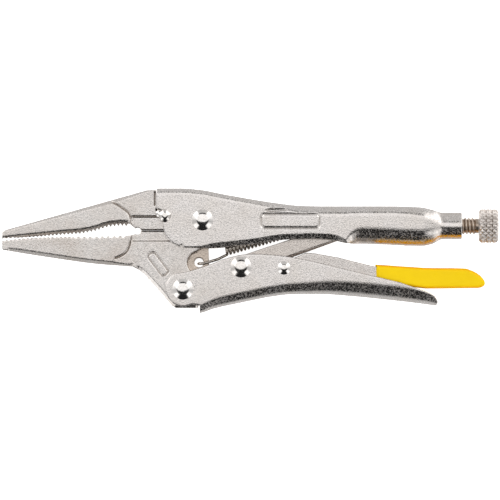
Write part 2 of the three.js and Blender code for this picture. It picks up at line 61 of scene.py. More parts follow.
def centre_of(node):
    """Centre of a CAD node's box, in millimetres."""
    low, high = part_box(node)
    return (low + high) / 2 / MM


MID_Z = centre_of("jaw_pivot_rivet").z
JAW_PIVOT = centre_of("jaw_pivot_rivet")[:2]
HANDLE_PIVOT = centre_of("handle_pivot_rivet")[:2]
LINK_PIVOT = centre_of("link_pivot_rivet")[:2]
LEVER_PIVOT = centre_of("lever_pivot_rivet")[:2]
SCREW_Y = centre_of("screw_knob").y
KNOB_LOW, KNOB_HIGH = (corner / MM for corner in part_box("screw_knob"))
SCREW_LOW, SCREW_HIGH = (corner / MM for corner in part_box("adjusting_screw"))
TIP_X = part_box("fixed_jaw")[0].x / MM

GAP = 0.3
SHEET = 2.4
HANDLE_HALF = 8.0
HANDLE_INNER = HANDLE_HALF - SHEET
JAW_HALF = 5.3
HEAD_R = 4.75
SMALL_HEAD_R = 2.95
HEAD_TOP = 9.5
SMALL_HEAD_TOP = 9.2
RIVET_SHANK = 3.0
SMALL_SHANK = 1.9
LARGE_RIVET = (RIVET_SHANK, HEAD_R, HEAD_TOP)
SMALL_RIVET = (SMALL_SHANK, SMALL_HEAD_R, SMALL_HEAD_TOP)
COLLAR_R = 6.05
COLLAR_X = 87.5
COLLAR_END_X = 96.1
BORE_R = 4.2
TONGUE_X = 28.0
TONGUE_HALF = 2.9
TONGUE_HOLE_Y = 13.2
TONGUE_HOLE_R = 1.1
FAR = 40.0
FACE_CLEAR = HANDLE_HALF + 1  # further from the mid-plane than any face of a jaw or handle

# Voxel size, rounds of smoothing and share of faces kept, for the skin of each kind of piece.
SHEET_SKIN = (0.3, 5, 0.6)
FORGED_SKIN = (0.25, 3, 0.7)
LINK_SKIN = (0.25, 5, 0.5)
LEVER_SKIN = (0.25, 5, 0.6)
VINYL_SKIN = (0.35, 8)
WELD_SKIN = (0.2, 2)


# ---- meshes and solids ----
def new_object(name, points, faces):
    """A closed mesh from points in millimetres about the mid-plane."""
    mesh = bpy.data.meshes.new(name)
    mesh.from_pydata([(x * MM, y * MM, (z + MID_Z) * MM) for x, y, z in points], [], faces)
    shape = bmesh.new()
    shape.from_mesh(mesh)
    bmesh.ops.recalc_face_normals(shape, faces=shape.faces)
    shape.to_mesh(mesh)
    shape.free()
    obj = bpy.data.objects.new(name, mesh)
    bpy.context.scene.collection.objects.link(obj)
    return obj


def copy_of(node, name):
    """A free copy of a CAD node's mesh."""
    obj = bpy.data.objects.new(name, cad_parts[node].data.copy())
    obj.data.materials.clear()
    bpy.context.scene.collection.objects.link(obj)
    shape = bmesh.new()
    shape.from_mesh(obj.data)
    bmesh.ops.remove_doubles(shape, verts=shape.verts, dist=1e-7)
    shape.to_mesh(obj.data)
    shape.free()
    return obj


def bake(obj):
    """Turns an object's modifiers into its mesh."""
    graph = bpy.context.evaluated_depsgraph_get()
    mesh = bpy.data.meshes.new_from_object(obj.evaluated_get(graph))
    obj.modifiers.clear()
    obj.data = mesh
    return obj


def combine(obj, operation, tools):
    """Adds or takes away whole solids; the tools are used up."""
    for tool in tools:
        step = obj.modifiers.new("solid", "BOOLEAN")
        step.operation = operation
        step.solver = "EXACT"
        step.object = tool
    bake(obj)
    for tool in tools:
        bpy.data.objects.remove(tool)
    return obj


def cut(obj, *tools):
    return combine(obj, "DIFFERENCE", tools)


def join(obj, *tools):
    return combine(obj, "UNION", tools)


def keep(obj, *tools):
    return combine(obj, "INTERSECT", tools)


def softened(obj, voxel, rounds, share=1.0):
    """One even skin over a solid, with its edges rounded as a plated forging's are."""
    skin = obj.modifiers.new("skin", "REMESH")
    skin.mode = "VOXEL"
    skin.voxel_size = voxel * MM
    ease = obj.modifiers.new("ease", "SMOOTH")
    ease.factor = 0.5
    ease.iterations = rounds
    if share < 1.0:
        thin = obj.modifiers.new("thin", "DECIMATE")
        thin.ratio = share
    bake(obj)
    obj.data.polygons.foreach_set("use_smooth", [True] * len(obj.data.polygons))
    return obj


def bridge(rings, closed_ends=True):
    """Points and faces of a tube through rings of equal length."""
    count = len(rings[0])
    points = [point for ring in rings for point in ring]
    faces = []
    for s in range(len(rings) - 1):
        for i in range(count):
            here = s * count + i
            after = s * count + (i + 1) % count
            faces.append((here, after, after + count, here + count))
    if closed_ends:
        last = (len(rings) - 1) * count
        faces.append(tuple(range(count))[::-1])
        faces.append(tuple(range(last, last + count)))
    return points, faces


def plate(outline, low, high, name="plate"):
    """A plate with a side outline between two distances from the mid-plane."""
    rings = [[(x, y, z) for x, y in outline] for z in (low, high)]
    return new_object(name, *bridge(rings))


def both_plates(outline, low, high):
    return [plate(outline, low, high), plate(outline, -high, -low)]


def block(low, high):
    """A box between two corners."""
    outline = [(low[0], low[1]), (high[0], low[1]), (high[0], high[1]), (low[0], high[1])]
    return plate(outline, low[2], high[2])


def disc(point, radius, half):
    """A round plate about an axis along Z."""
    return plate(arc(point, radius, 0, 352, 8), -half, half)


ROD_STEP = 15


def rod_x(y, z, radius, low, high):
    """A round rod along X."""
    angles = [math.radians(turn) for turn in range(0, 360, ROD_STEP)]
    rings = [
        [(x, y + radius * math.cos(a), z + radius * math.sin(a)) for a in angles]
        for x in (low, high)
    ]
    return new_object("rod", *bridge(rings))


def arc(point, radius, start, end, step=8):
    """Points of an arc from one angle to another, in degrees."""
    count = max(2, math.ceil(abs(end - start) / step))
    angles = [math.radians(start + (end - start) * i / count) for i in range(count + 1)]
    return [(point[0] + radius * math.cos(a), point[1] + radius * math.sin(a)) for a in angles]


def curve(points, count):
    """Points of a smooth curve through the given points."""
    found = []
    last = len(points) - 1
    for i in range(count + 1):
        place = i / count * last
        k = min(int(place), last - 1)
        t = place - k
        near = [points[max(0, min(last, k + d))] for d in (-1, 0, 1, 2)]
        found.append(tuple(catmull(t, *values) for values in zip(*near)))
    return found


def catmull(t, before, start, end, after):
    rise = (end - before) / 2
    fall = (after - start) / 2
    bend = (2 * start - 2 * end + rise + fall) * t**3
    return bend + (-3 * start + 3 * end - 2 * rise - fall) * t**2 + rise * t + start


def eased_rows(rows, step):
    """Rows of numbers led by a place in X, filled in between without overshoot."""
    table = np.array(rows, float)
    xs = table[:, 0]
    width = np.diff(xs)
    slope = np.diff(table, axis=0) / width[:, None]
    lean = np.zeros_like(table)
    same = slope[:-1] * slope[1:] > 0
    sum_of = np.where(same, slope[:-1] + slope[1:], 1)
    lean[1:-1] = np.where(same, 2 * slope[:-1] * slope[1:] / sum_of, 0)
    lean[0], lean[-1] = slope[0], slope[-1]
    found = []
    for k, w in enumerate(width):
        count = max(1, math.ceil(w / step))
        for i in range(count):
            t = i / count
            a = table[k] * (2 * t**3 - 3 * t**2 + 1) + table[k + 1] * (3 * t**2 - 2 * t**3)
            b = lean[k] * w * (t**3 - 2 * t**2 + t) + lean[k + 1] * w * (t**3 - t**2)
            row = a + b
            row[0] = xs[k] + t * w
            found.append(row)
    found.append(table[-1])
    return found


# ---- folded sheet ----
BEND_STEPS = 10
ROW_STEP = 1.5


def folded_ring(row, side):
    """Section of a folded sheet: web, bend, wall and curl, outside and back along the inside."""
    x, web, half, bend, edge, curl, curl_angle, sheet = row
    outer, inner = [(web, 0)], [(web - side * sheet, 0)]
    for i in range(BEND_STEPS + 1):
        angle = math.pi / 2 * i / BEND_STEPS
        y = web - side * bend * (1 - math.cos(angle))
        z = half - bend * (1 - math.sin(angle))
        outer.append((y, z))
        inner.append((y - side * sheet * math.cos(angle), z - sheet * math.sin(angle)))
    for i in range(BEND_STEPS + 1):
        angle = math.radians(curl_angle) * i / BEND_STEPS
        y = edge + side * curl * (1 - math.sin(angle))
        z = half - curl * (1 - math.cos(angle))
        outer.append((y, z))
        inner.append((y + side * sheet * math.sin(angle), z - sheet * math.cos(angle)))
    ring = mirrored(outer) + list(reversed(mirrored(inner)))
    return [(x, y, z) for y, z in ring]


def mirrored(half):
    """A half section, led by its mirror image."""
    return [(y, -z) for y, z in reversed(half[1:])] + half


def folded_sheet(rows, side, name):
    rings = [folded_ring(row, side) for row in eased_rows(rows, ROW_STEP)]
    points, faces = bridge(rings, closed_ends=False)
    count = len(rings[0])
    last = (len(rings) - 1) * count
    for i in range(count // 2 - 1):
        back = count - 1 - i
        faces.append((i, back, back - 1, i + 1))
        faces.append((last + i, last + i + 1, last + back - 1, last + back))
    return new_object(name, points, faces)


# ---- upper handle ----
OPEN_CURL = (5.0, 1.0)
UPPER_EDGE, LOWER_EDGE = -7, 5  # where the walls end before they are trimmed to their outline
FRAME_LOW, FRAME_HIGH = (4.8, 9.8), (31.8, 16.8)
FRAME_CORNER = 2.0
FRAME_LINE = 0.7
STAMP_DEPTH = 0.6
DENT_DEPTH = 0.7


def upper_handle_rows():
    """Rows of x, web height, half width, bend, lower edge, curl, curl angle and sheet."""
    front = [
        (-42.6, 28.1, 2.6),
        (-31.5, 28.1, 2.6),
        (-23.0, 27.5, 2.6),
        (-13.3, 25.7, 2.6),
        (0.0, 23.3, 2.7),
        (11.5, 21.5, 3.1),
        (23.5, 20.2, 4.0),
        (34.0, 20.0, 4.4),
        (41.0, 20.0, 4.4),
    ]
    barrel = [
        (43.6, 20.0, 4.3, -2.3, 20),
        (46.0, 20.0, 4.2, 0.9, 50),
        (50.0, 20.0, 4.0, 2.7, 76),
        (64.0, 20.0, 4.0, 2.3, 80),
        (72.0, 19.8, 4.3, 1.9, 80),
        (77.8, 19.5, 4.8, 1.8, 80),
    ]
    rows = [(x, web, HANDLE_HALF, bend, UPPER_EDGE, *OPEN_CURL, SHEET) for x, web, bend in front]
    rows += [
        (x, web, HANDLE_HALF, bend, edge, HANDLE_HALF, turn, SHEET)
        for x, web, bend, edge, turn in barrel
    ]
    rows.append((82.8, 18.4, 7.2, 5.4, 2.8, 7.2, 83, 2.1))
    top, bottom = SCREW_Y + COLLAR_R, SCREW_Y - COLLAR_R
    for x in (COLLAR_X, COLLAR_END_X):
        rows.append((x, top, COLLAR_R, COLLAR_R, bottom, COLLAR_R, 86, COLLAR_R - BORE_R))
    return rows


UPPER_RIM = [
    (-29.0, 1.3),
    (-23.0, 1.1),
    (-16.0, 0.9),
    (-9.0, 1.6),
    (3.0, 3.0),
    (13.0, 4.6),
    (23.0, 5.1),
    (32.0, 5.1),
    (38.0, 4.5),
    (44.0, 3.2),
    (50.0, 2.6),
]
# The bevel of the rim leaves the edge at both ends.
RIM_BEVEL = [(-29.0, -0.9), (-21.0, -0.4), *UPPER_RIM[2:9], (43.0, 2.2), (47.0, 0.2)]
RIM_WIDTH = 2.2
RIM_SLOPE = 0.6


def upper_handle_outline():
    front = [(-41.9, 18.0), (-39.6, 13.2), (-39.2, 9.9), (-38.0, 6.3), (-35.4, 3.6), (-31.5, 1.6)]
    return [
        (-42.5, FAR),
        (-42.5, 19.5),
        *curve(front, 20),
        *curve(UPPER_RIM, 36),
        (54.0, -20),
        (120, -20),
        (120, FAR),
    ]


def rounded_box(low, high, corner):
    centres = [
        ((high[0] - corner, high[1] - corner), 0),
        ((low[0] + corner, high[1] - corner), 90),
        ((low[0] + corner, low[1] + corner), 180),
        ((high[0] - corner, low[1] + corner), 270),
    ]
    return [p for point, turn in centres for p in arc(point, corner, turn, turn + 90, 15)]


def stamped_frame():
    """The groove of an empty stamped frame on the near wall."""
    outline = rounded_box(FRAME_LOW, FRAME_HIGH, FRAME_CORNER)
    outer = plate(outline, HANDLE_HALF - STAMP_DEPTH, FACE_CLEAR)
    low = [value + FRAME_LINE for value in FRAME_LOW]
    high = [value - FRAME_LINE for value in FRAME_HIGH]
    return cut(outer, plate(rounded_box(low, high, FRAME_CORNER - FRAME_LINE), 0, FACE_CLEAR + 1))


def bend_dent():
    """The crease that the press leaves below the bend, as a shallow wedge."""
    outline = [(6.5, 17.9), (9.0, 17.3), (16.0, 18.0), (18.5, 18.6), (15.0, 19.0), (9.0, 18.9)]
    return plate(outline, HANDLE_HALF - DENT_DEPTH, FACE_CLEAR)


def upper_handle():
    """The channel with its barrel, tongue, notches, holes, frame and bevelled rim."""
    notch = [(-43, 19.0), (-37.4, 17.2), (-36.0, 15.4), (-37.2, 13.6), (-43, 12.4)]
    body = folded_sheet(upper_handle_rows(), 1, "upper_handle_shell")
    keep(body, plate(upper_handle_outline(), -FACE_CLEAR, FACE_CLEAR))
    cut(body, block((TONGUE_X - 7, 15, -TONGUE_HALF), (TONGUE_X, 25, TONGUE_HALF)))
    join(body, block((TONGUE_X, 11.2, -TONGUE_HALF), (TONGUE_X + 2, 18.6, TONGUE_HALF)))
    cut(
        body,
        rod_x(TONGUE_HOLE_Y, 0, TONGUE_HOLE_R, TONGUE_X - 1, TONGUE_X + 3),
        *both_plates(notch, HANDLE_INNER - 1, FACE_CLEAR),
        disc(JAW_PIVOT, RIVET_SHANK + GAP / 2, FACE_CLEAR),
        block((-31.5, 0, -FACE_CLEAR), (-30.5, 2.6, FACE_CLEAR)),
        stamped_frame(),
        bend_dent(),
        *edge_chamfers(curve(RIM_BEVEL, 36), RIM_WIDTH, HANDLE_HALF, RIM_SLOPE),
    )
    return softened(body, *SHEET_SKIN)


# ---- lower handle ----
def lower_handle_rows():
    return [
        (x, web, HANDLE_HALF, bend, LOWER_EDGE, *OPEN_CURL, SHEET)
        for x, web, bend in [
            (-22.8, -28.5, 4.0),
            (-20.9, -28.0, 4.2),
            (-17.0, -26.6, 4.6),
            (-13.2, -25.6, 4.8),
            (-6.1, -24.1, 5.0),
            (2.0, -22.4, 5.0),
            (10.0, -20.9, 5.0),
            (19.0, -19.9, 5.2),
            (31.8, -19.8, 6.0),
            (45.4, -20.7, 6.8),
            (64.4, -22.6, 7.0),
            (78.0, -24.2, 6.4),
            (85.0, -25.2, 4.6),
        ]
    ]


EAR_EDGE = [(-13.2, -4.3), (-17.7, -6.2), (-26.9, -9.2), (-32.0, -10.2)]
EAR_R = 7.9


def lower_handle():
    """The channel with its flat ears at the front and its rivet holes."""
    tail = [(85.1, -23.3), (83.6, -20.7), (80.4, -18.9), (74.1, -16.6), (67.7, -14.4)]
    top = [(58.2, -12.1), (42.2, -8.3), (26.3, -4.5), (14.0, -2.4), (0.0, -1.6), (-8.4, -2.9)]
    outline = [
        (-22.8, -FAR),
        (84.0, -FAR),
        (84.4, -25.0),
        *curve(tail, 16),
        *curve(top, 30),
        *curve(EAR_EDGE, 9),
        (-32.0, -14),
        (-22.8, -20),
    ]
    ear = [
        (-22.4, -25.0),
        (-20.9, -23.6),
        (-17.0, -21.9),
        (-14.0, -20.9),
        (-14.0, -5.0),
        *curve(EAR_EDGE[1:], 8),
        *arc(HANDLE_PIVOT, EAR_R, 112, 300, 8),
    ]
    body = folded_sheet(lower_handle_rows(), -1, "lower_handle_shell")
    keep(body, plate(outline, -FACE_CLEAR, FACE_CLEAR))
    join(body, *both_plates(ear, HANDLE_INNER, HANDLE_HALF))
    cut(
        body,
        disc(HANDLE_PIVOT, RIVET_SHANK + GAP / 2, FACE_CLEAR),
        disc(LINK_PIVOT, RIVET_SHANK + GAP / 2, FACE_CLEAR),
        disc(LEVER_PIVOT, SMALL_SHANK + GAP / 2, FACE_CLEAR),
    )
    return softened(body, *SHEET_SKIN)


# ---- jaws ----
def ways_along(path):
    """Each point of a path with the unit normal to its left."""
    found = []
    for i, (x, y) in enumerate(path):
        ax, ay = path[max(0, i - 1)]
        bx, by = path[min(len(path) - 1, i + 1)]
        length = math.hypot(bx - ax, by - ay)
        found.append((x, y, (ay - by) / length, (bx - ax) / length))
    return found


# How far a bevel's wedge runs on over the face, out past the edge, and back to its heel.
WEDGE_OVER, WEDGE_PAST, WEDGE_HEEL = 1, 2, 5


def edge_chamfers(path, width, half, slope=1.0):
    """Wedges that bevel an edge on both faces; the solid lies to the left of the path.

    half is the distance of the face from the mid-plane, or a function of x that gives it.
    """
    wedges = []
    for side in (1, -1):
        rings = []
        for x, y, nx, ny in ways_along(path):
            face = half(x) if callable(half) else half
            section = [
                (width + WEDGE_OVER, face + WEDGE_OVER * slope),
                (-WEDGE_PAST, face - (width + WEDGE_PAST) * slope),
                (-WEDGE_HEEL, face + WEDGE_OVER),
            ]
            rings.append([(x + nx * d, y + ny * d, side * z) for d, z in section])
        wedges.append(new_object("wedge", *bridge(rings)))
    return wedges


def grooves(path, width, bottom, top=FACE_CLEAR):
    """Narrow slots of one width along a path, on both faces."""
    ways = ways_along(path)
    left = [(x + nx * width / 2, y + ny * width / 2) for x, y, nx, ny in ways]
    right = [(x - nx * width / 2, y - ny * width / 2) for x, y, nx, ny in ways]
    return both_plates(right + left[::-1], bottom, top)


SLIT_Y = 8.9
BLADE_HALF = 1.2
CUTTER_TOP = 15.6
FIXED_GRIP = [
    (-112.2, 5.1),
    (-104.0, 5.9),
    (-98.7, 6.4),
    (-85.9, 7.7),
    (-76.5, 8.5),
    (-70.1, 9.8),
    (-64.2, 11.7),
    (-58.8, 12.3),
    (-55.0, 12.1),
]
NOSE_TIP_HALF, NOSE_ROOT_HALF = 2.6, 6.0
NOSE_TIP_X, NOSE_ROOT_X = TIP_X + 6, -54.3
CUTTER_HALF = 4.3
BLADE_NEAR, BLADE_FAR = 0.05, 0.6
BLADE_ENDS = (-49.4, -34.0)
LIP_NEAR, LIP_FAR = 0.45, 2.0
LIP_ENDS = (-49.6, -33.0)
# Width of an engraved line, and the height of its floor above the mid-plane.
FOOT_LINE = (0.6, 4.4)
UPPER_STEP_LINE = (0.7, 2.8)
LOWER_STEP_LINE = (0.45, 3.7)
SEAT_LINE = (0.65, 3.6)
POCKET_FLOOR = 1.2
HEEL_HALF = 4.6


def nose_half(x):
    """Half the thickness of a nose, or of the body behind it."""
    share = (x - NOSE_TIP_X) / (NOSE_ROOT_X - NOSE_TIP_X)
    if share >= 1:
        return JAW_HALF
    return NOSE_TIP_HALF + max(0, share) * (NOSE_ROOT_HALF - NOSE_TIP_HALF)


def cutter_strip(ends, near, far, half):
    """A strip along the wire cutter's slit, between two distances from its middle."""
    low, high = sorted((SLIT_Y + near, SLIT_Y + far))
    return block((ends[0], low, -half), (ends[1], high, half))


def cutter_lip(side):
    """A strip above or below the slit, which narrows it to a line."""
    return cutter_strip(LIP_ENDS, side * LIP_NEAR, side * LIP_FAR, CUTTER_HALF)


def cutter_blade(side):
    """The thin edge that closes on its partner at the slit's middle."""
    return cutter_strip(BLADE_ENDS, side * BLADE_NEAR, side * BLADE_FAR, BLADE_HALF)


GRIP_TEETH = (-106.0, -56.0)
TOOTH_PITCH = 1.75
TOOTH_SET_BACK = 0.25
# The teeth grow deeper from the tip towards the throat.
TOOTH_PLACES = (GRIP_TEETH[0], -96.0, -70.0, GRIP_TEETH[1])
TOOTH_DEPTHS = (0.2, 0.7, 1.3, 1.4)
TOOTH_ROOT = 0.3
TOOTH_BACK = 2.0


def pointed_teeth():
    """A row of pointed teeth that carries the fixed jaw's grip a little lower."""
    line = np.array(FIXED_GRIP)
    low, high = GRIP_TEETH
    count = round((high - low) / TOOTH_PITCH)
    outline = []
    for i in range(2 * count + 1):
        x = low + i * TOOTH_PITCH / 2
        y = float(np.interp(x, line[:, 0], line[:, 1]))
        depth = float(np.interp(x, TOOTH_PLACES, TOOTH_DEPTHS))
        outline.append((x, y - depth if i % 2 else y + TOOTH_ROOT))
    back = [(x, y + TOOTH_BACK) for x, y in curve(FIXED_GRIP, 30) if low < x < high]
    outline += back[::-1]
    half = [nose_half(x) - TOOTH_SET_BACK for x, y in outline]
    rings = [[(x, y, side * h) for (x, y), h in zip(outline, half)] for side in (-1, 1)]
    return new_object("teeth", *bridge(rings))


def fixed_jaw():
    """The forging with its weld pocket, engraved lines, teeth, cutter and bevels."""
    foot = curve([(-65.6, 23.0), (-61.2, 21.2), (-56.8, 18.3), (-54.6, 16.1), (-53.6, 12.4)], 16)
    behind = [*foot, (-53.0, 8.0), (-30, 8.0), (-30, 30), (-66.5, 30)]
    top = [(-44.0, 27.9), (TIP_X + 3, 9.6)]
    heel = [(-43.6, 24.0), (-41.4, 24.0), (-41.4, 26.9), (-43.6, 27.2)]
    step = [(-53.2, CUTTER_TOP - 0.3), (-37.0, CUTTER_TOP - 0.3)]
    seat = [(-43.1, 20.2), (-43.1, 26.6)]
    pocket = [(-42.6, 17.6), (-38.4, 16.6), (-37.8, 18.2), (-39.2, 19.0), (-42.6, 19.2)]
    jaw = copy_of("fixed_jaw", "fixed_jaw_forging")
    join(jaw, plate(heel, -HEEL_HALF, HEEL_HALF), cutter_lip(1), pointed_teeth())
    join(jaw, cutter_blade(1))
    cut(
        jaw,
        *grooves(foot, *FOOT_LINE),
        *grooves(step, *UPPER_STEP_LINE),
        *grooves(seat, *SEAT_LINE),
    )
    cut(
        jaw,
        *both_plates(behind, JAW_HALF, FACE_CLEAR),
        *both_plates(pocket, POCKET_FLOOR, FACE_CLEAR),
    )
    cut(jaw, *edge_chamfers(curve(FIXED_GRIP, 24), 1.3, nose_half, 0.9))
    cut(jaw, *edge_chamfers(top, 0.5, nose_half))
    return softened(jaw, *FORGED_SKIN)


BELLY = [
    (-51.3, -8.3),
    (-48.5, -10.3),
    (-45.4, -13.6),
    (-41.6, -17.8),
    (-37.6, -22.6),
    (-35.2, -25.1),
    (-33.6, -26.1),
]
STAMP_CENTRE, STAMP_TURN = (-41.6, -6.2), math.radians(-53)
STAMP_SIZE = (6.2, 2.2)
STAMP_CORNER = 1.6


def belly_stamp(inset):
    """Outline of the slanted, empty stamped frame on the moving jaw."""
    half = [value - inset for value in STAMP_SIZE]
    c, s = math.cos(STAMP_TURN), math.sin(STAMP_TURN)
    flat = rounded_box([-value for value in half], half, STAMP_CORNER - inset)
    x, y = STAMP_CENTRE
    return [(x + u * c - v * s, y + u * s + v * c) for u, v in flat]


def moving_jaw():
    """The forging with its heel, engraved lines, stamped frame, cutter and bevels."""
    foot = curve([(-54.0, 4.6), (-54.4, 2.6), (-55.6, -0.4), (-58.5, -2.6), (-61.4, -3.6)], 16)
    behind = [(-53.6, 8.0), *foot, (-64.0, -12), (-30, -12), (-30, 8.0)]
    belly = [*curve(BELLY, 16), (-24.2, -26.1)]
    nose = [(TIP_X + 3, -0.4), (-92.0, -2.9), (-75.0, -5.4), (-60.0, -6.9), (-53.1, -7.4)]
    heel = [(-28, -26.1), (-23.6, -26.1), (-22.9, -23.5), (-24.5, -20), (-28, -20)]
    step = [(-53.4, 4.3), (-34.0, 4.3)]
    jaw = copy_of("moving_jaw", "moving_jaw_forging")
    join(jaw, plate(heel, -JAW_HALF, JAW_HALF), cutter_lip(-1))
    join(jaw, cutter_blade(-1))
    cut(jaw, *both_plates(behind, JAW_HALF, FACE_CLEAR))
    cut(jaw, *grooves(foot, *FOOT_LINE), *grooves(step, *LOWER_STEP_LINE))
    cut(
        jaw,
        *edge_chamfers(belly, 1.4, JAW_HALF, 0.7),
        *edge_chamfers(curve(nose, 14), 1.5, nose_half, 1.3),
    )
    stamp = plate(belly_stamp(0), JAW_HALF - STAMP_DEPTH, FACE_CLEAR)
    cut(jaw, cut(stamp, plate(belly_stamp(FRAME_LINE), 0, FAR)))
    return softened(jaw, *FORGED_SKIN)


# ---- linkage, lever and sleeve ----
LINK_HALF = 3.0


def toggle_link():
    link = copy_of("toggle_link", "toggle_link_plate")
    lower = [(6.0, -7.1), (49.3, 7.65)]
    cut(link, *edge_chamfers(lower, 0.7, LINK_HALF))
    return softened(link, *LINK_SKIN)


def release_lever():
    lever = copy_of("release_lever", "release_lever_channel")
    return softened(lever, *LEVER_SKIN)


SWELL_LENGTH, SWELL_WIDTH = 14.0, 6.0
SWELL_HEIGHT, SWELL_INSET = 0.12, 0.1


def lever_sleeve():
    """Dipped vinyl: soft all over, and a little thicker in places."""
    sleeve = softened(copy_of("lever_sleeve", "lever_sleeve_vinyl"), *VINYL_SKIN)
    for vertex in sleeve.data.vertices:
        place = vertex.co / MM
        across = (place.y / SWELL_WIDTH, place.z / SWELL_WIDTH)
        swell = noise.noise(Vector((place.x / SWELL_LENGTH, *across)))
        vertex.co += vertex.normal * (SWELL_HEIGHT * swell - SWELL_INSET) * MM
    return sleeve


# ---- rivets ----
HAMMER_SIZE = 1.6


def lathe_z(name, profile, point, segments=64, hammered=0.0):
    """A turned body about an axis along Z; hammered lets its faces wander a little."""
    rings = []
    for radius, z in profile:
        ring = []
        for i in range(segments):
            angle = 2 * math.pi * i / segments
            x, y = radius * math.cos(angle), radius * math.sin(angle)
            spot = Vector((x / HAMMER_SIZE, y / HAMMER_SIZE, z + point[0]))
            wander = hammered * noise.noise(spot)
            ring.append((point[0] + x, point[1] + y, z + math.copysign(wander, z)))
        rings.append(ring)
    return new_object(name, *bridge(rings))


HEAD_SEAT = HANDLE_HALF + 0.02
HEAD_RIM = 0.2
HEAD_EASE = 0.1
HAMMERED = 0.03
DOME_POWER = 2.8
DOME_STEPS = [1.0, 0.97, 0.92, 0.86, 0.78, 0.7, 0.6, 0.5, 0.38, 0.25, 0.12, 0.01]


def rivet(name, point, shank, base, top):
    """A rivet with a domed head at each end of its shank."""
    rim = HEAD_SEAT + HEAD_RIM
    dome = [(base * share, top - (top - rim) * share**DOME_POWER) for share in DOME_STEPS]
    end = [(shank, HEAD_SEAT), (base - HEAD_EASE, HEAD_SEAT), *dome]
    profile = [(r, -z) for r, z in reversed(end)] + end
    return shaded(lathe_z(name, profile, point, hammered=HAMMERED))


def shaded(obj, angle=35):
    """Smooth shading that leaves corners sharper than the angle."""
    obj.data.polygons.foreach_set("use_smooth", [True] * len(obj.data.polygons))
    obj.data.set_sharp_from_angle(angle=math.radians(angle))
    return obj


# ---- weld beads ----
# Place of each lobe's middle, its radius and its height.
WELD_LOBES = [((-1.7, 0.8), 1.8, 1.9), ((0.8, -0.2), 2.9, 2.85)]
WELD_BASE = JAW_HALF + 0.9
WELD_RISE = 0.55
WELD_STEPS = 12
RIPPLE_STEP = 10
RIPPLE_DEPTH = 0.07


def weld_bead(node, side):
    """A small puddle of weld in the notch, in two overlapping lobes with ripples."""
    centre = centre_of(node)
    bead = None
    for (dx, dy), width, height in WELD_LOBES:
        rings = []
        for i in range(1, WELD_STEPS):
            angle = math.pi * i / WELD_STEPS - math.pi / 2
            radius = width * math.cos(angle)
            z = side * (WELD_BASE + height * WELD_RISE * (1 + math.sin(angle)))
            rings.append([(x, y, z) for x, y in ripple((centre.x + dx, centre.y + dy), radius)])
        lobe = new_object(node + "_puddle", *bridge(rings))
        bead = join(bead, lobe) if bead else lobe
    return softened(bead, *WELD_SKIN)


def ripple(point, radius):
    """A slightly wavy ring."""
    angles = [math.radians(turn) for turn in range(0, 360, RIPPLE_STEP)]
    return [
        (
            point[0] + radius * (1 + RIPPLE_DEPTH * math.sin(5 * a)) * math.cos(a),
            point[1] + radius * (1 + RIPPLE_DEPTH * math.cos(4 * a)) * math.sin(a),
        )
        for a in angles
    ]


# ---- adjusting screw and knob ----
PITCH = 1.6
THREAD_DEPTH = 0.75
SCREW_R = 3.75
CREST_SLOPE = 1.35
TAPER_LENGTH, TAPER_DEPTH = 1.6, 1.2
NECK_LENGTH, NECK_CREST = 1.2, 0.35
THREAD_SIDES, KNOB_SIDES = 48, 240


def round_grid(name, xs, segments, radius_at):
    """A body about the screw's axis whose radius depends on x and on the angle."""
    rings = []
    for x in xs:
        ring = []
        for i in range(segments):
            angle = 2 * math.pi * i / segments
            radius = radius_at(x, angle)
            ring.append((x, SCREW_Y + radius * math.cos(angle), radius * math.sin(angle)))
        rings.append(ring)
    return new_object(name, *bridge(rings))


def zigzag(value):
    """A triangle wave between 0 and 1 with period 1."""
    return abs(2 * (value - math.floor(value)) - 1)


def adjusting_screw():
    """The threaded shank, tapered at its tip and necked at the knob."""
    start, end = SCREW_LOW.x, SCREW_HIGH.x

    def radius_at(x, angle):
        crest = min(1.0, CREST_SLOPE * zigzag(x / PITCH - angle / (2 * math.pi)))
        taper = max(0.0, 1 - (x - start) / TAPER_LENGTH)
        if x > end - NECK_LENGTH:
            crest, taper = NECK_CREST, 0
        return SCREW_R - THREAD_DEPTH * (1 - crest) - TAPER_DEPTH * taper

    xs = list(np.arange(start, end, PITCH / 10)) + [end]
    return shaded(round_grid("adjusting_screw_thread", xs, THREAD_SIDES, radius_at), 60)


KNURL_STARTS = 18
KNURL_LEAD = 2.7
KNURL_DEPTH = 0.7
KNURL_CREST = 1.5
KNOB_GROOVES = (0.34, 0.66)
GROOVE_SIZE = 0.45
KNOB_EDGE = 0.9
KNOB_STEPS = 56


def screw_knob():
    """The head of the screw, with crossed knurls, two turned grooves and eased edges."""
    low, high = KNOB_LOW.x, KNOB_HIGH.x
    full = (KNOB_HIGH.y - KNOB_LOW.y) / 2
    turned = [low + share * (high - low) for share in KNOB_GROOVES]

    def radius_at(x, angle):
        turn = KNURL_STARTS * angle / (2 * math.pi)
        step = (x - low) / KNURL_LEAD
        peak = min(zigzag(turn + step), zigzag(turn - step))
        groove = max(0.0, 1 - min(abs(x - g) for g in turned) / GROOVE_SIZE)
        end = max(0.0, 1 - min(x - low, high - x) / KNOB_EDGE)
        knurl = KNURL_DEPTH * (1 - min(1, KNURL_CREST * peak))
        return full - knurl - GROOVE_SIZE * groove - KNOB_EDGE * end

    xs = [low + (high - low) * i / KNOB_STEPS for i in range(KNOB_STEPS + 1)]
    return shaded(round_grid("screw_knob_knurled", xs, KNOB_SIDES, radius_at), 50)


# ---- spring ----
SPRING_R = 2.8
WIRE_R = 0.62
SPRING_SLOPE = math.radians(16.1)
SPRING_START = (-11.6, 0.0)
SPRING_LENGTH = 38.0
COIL_PITCH = 1.68
TURN_STEPS = 24


